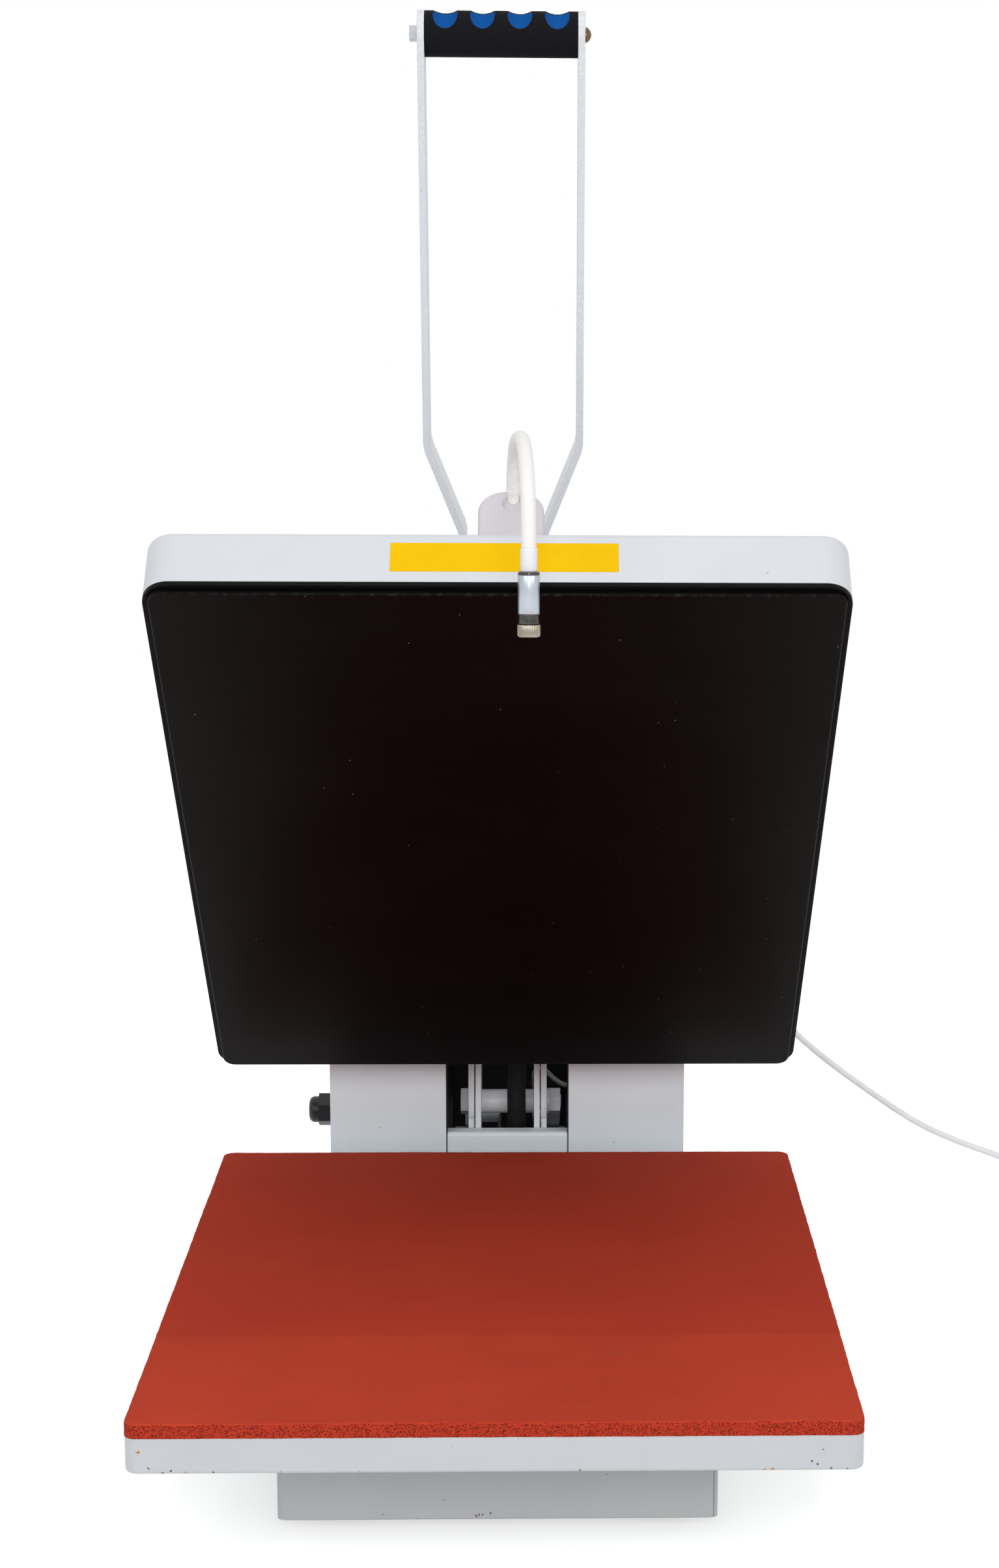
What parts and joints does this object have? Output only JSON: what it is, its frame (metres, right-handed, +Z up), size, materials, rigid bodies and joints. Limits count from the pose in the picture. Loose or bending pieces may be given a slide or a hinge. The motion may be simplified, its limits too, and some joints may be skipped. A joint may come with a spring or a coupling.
{
  "type": "clamshell heat press",
  "caption": "Clamshell heat press with a heated upper platen on a swinging arm, a padded lower platen, a toggle handle, a gas strut and a pointer lamp on a bendable neck.",
  "frame": {"origin": "on the floor, under the middle of the press without its lead", "axes": "+X to the operator's right, +Y to the back, +Z up"},
  "size_m": [0.7383, 0.7273, 0.8638],
  "materials": {
    "paint": "light grey powder coat",
    "cast_paint": "white coat with a fine orange-peel texture",
    "silver_paint": "light grey metallic coat",
    "black_paint": "black satin coat",
    "heater": "dark non-stick coat",
    "steel": "bright turned steel",
    "zinc": "zinc plated",
    "dark_steel": "blackened",
    "brass": "yellow plated",
    "silicone": "matte silicone foam",
    "foam": "matte foam",
    "blue_foam": "matte blue foam",
    "rubber": "matte",
    "plastic": "satin black",
    "lilac_plastic": "satin lilac grey",
    "white_plastic": "white cord jacket",
    "window": "dark display window",
    "red_plastic": "red",
    "green_plastic": "green",
    "board": "circuit board",
    "braid": "black braided sleeve",
    "insulation": "needled fibre blanket",
    "neck_metal": "white coat",
    "lamp_metal": "satin"
  },
  "bodies": {
    "frame": {"base_chassis": "paint", "bottom_plate": "steel", "rubber_feet": "rubber", "lower_platen": "cast_paint", "silicone_pad": "silicone", "frame_bolts": "zinc", "left_housing": "paint", "right_housing": "paint", "channel_panel": "paint", "rear_cover": "paint", "hinge_bracket_left": "paint", "hinge_bracket_right": "paint", "pivot_bolts": "zinc", "pivot_nuts": "zinc", "control_panel": "plastic", "display_window": "window", "cable_gland": "plastic", "control_electronics": "board", "lead_grommet": "rubber", "laser_lead": "white_plastic", "lead_coil": "white_plastic", "lead_plug": "plastic", "heater_cable": "braid", "earth_wire": "white_plastic"},
    "arm": {"arm_plate_left": "paint", "arm_plate_right": "paint", "arm_spacers": "paint", "nut_block": "steel", "strut_arm_pins": "zinc"},
    "handle": {"handle_bar_left": "silver_paint", "handle_bar_right": "silver_paint", "grip_sleeve": "foam", "grip_core": "blue_foam", "grip_bolt": "brass", "grip_nut": "zinc", "pivot_shaft": "zinc", "toggle_crank": "steel"},
    "toggle_link": {"toggle_link": "steel"},
    "strut_cylinder": {"strut_cylinder": "dark_steel"},
    "strut_rod": {"strut_rod": "steel"},
    "platen": {"platen_cover": "paint", "rim_gasket": "black_paint", "heater_plate": "heater", "heating_element": "steel", "insulation_blanket": "insulation", "suspension_bridge": "steel", "bridge_bolts": "zinc", "heater_grommet": "rubber", "laser_base": "lilac_plastic", "gooseneck": "neck_metal", "laser_sleeve": "white_plastic", "laser_body": "lamp_metal"},
    "focus_ring": {"laser_focus_ring": "lamp_metal"},
    "pressure_knob": {"pressure_screw": "steel", "pressure_knob": "plastic"},
    "button_set": {"button_set": "red_plastic"},
    "button_up": {"button_up": "green_plastic"},
    "button_down": {"button_down": "green_plastic"},
    "power_rocker": {"power_rocker": "red_plastic"}
  },
  "joints": [
    {"name": "arm_hinge", "type": "hinge", "parent": "frame", "child": "arm", "pos_m": [0, 0.218, 0.114], "axis": [1, 0, 0], "range_deg": [0, 47.3], "stiffness_Nm_per_rad": 14.5, "springref_deg": -150.11, "deforming": ["heater_cable"]},
    {"name": "handle_pivot", "type": "hinge", "parent": "arm", "child": "handle", "pos_m": [0, 0.13087, 0.30574], "axis": [1, 0, 0], "range_deg": [0, 22.7]},
    {"name": "link_pivot", "type": "hinge", "parent": "frame", "child": "toggle_link", "pos_m": [0, 0.226, 0.256], "axis": [1, 0, 0], "range_deg": [-73.08, 0]},
    {"name": "strut_pivot", "type": "hinge", "parent": "frame", "child": "strut_cylinder", "pos_m": [0, 0.336, 0.069], "axis": [1, 0, 0], "range_deg": [-1.56, 0]},
    {"name": "strut_slide", "type": "slide", "parent": "strut_cylinder", "child": "strut_rod", "axis": [0, -0.9997, 0.0237], "range_m": [-0.03574, 0]},
    {"name": "pressure_slide", "type": "slide", "parent": "arm", "child": "platen", "axis": [0, 0.7349, 0.6782], "range_m": [0, 0.006]},
    {"name": "pressure_turn", "type": "hinge", "parent": "platen", "child": "pressure_knob", "pos_m": [0, 0.07245, 0.41919], "axis": [0, 0.7349, 0.6782], "range_deg": [0, 1080]},
    {"name": "focus_turn", "type": "hinge", "parent": "platen", "child": "focus_ring", "pos_m": [0.0176, -0.24979, 0.51254], "axis": [0, -0.0401, -0.9992], "range_deg": [0, 180]},
    {"name": "set_press", "type": "slide", "parent": "frame", "child": "button_set", "axis": [0, 0.6877, -0.726], "range_m": [0, 0.001], "stiffness_N_per_m": 400},
    {"name": "up_press", "type": "slide", "parent": "frame", "child": "button_up", "axis": [0, 0.6877, -0.726], "range_m": [0, 0.001], "stiffness_N_per_m": 400},
    {"name": "down_press", "type": "slide", "parent": "frame", "child": "button_down", "axis": [0, 0.6877, -0.726], "range_m": [0, 0.001], "stiffness_N_per_m": 400},
    {"name": "power_rock", "type": "hinge", "parent": "frame", "child": "power_rocker", "pos_m": [0.0855, 0.23277, 0.20558], "axis": [1, 0, 0], "range_deg": [0, 16]}
  ],
  "couplings": [
    {"joint": "handle_pivot", "follows": "arm_hinge", "ratio": 0.47991},
    {"joint": "link_pivot", "follows": "arm_hinge", "ratio": -1.545},
    {"joint": "strut_pivot", "follows": "arm_hinge", "ratio": -0.033014},
    {"joint": "strut_slide", "follows": "arm_hinge", "m_per_rad": -0.043297},
    {"joint": "pressure_turn", "follows": "pressure_slide", "rad_per_m": 3141.6}
  ]
}
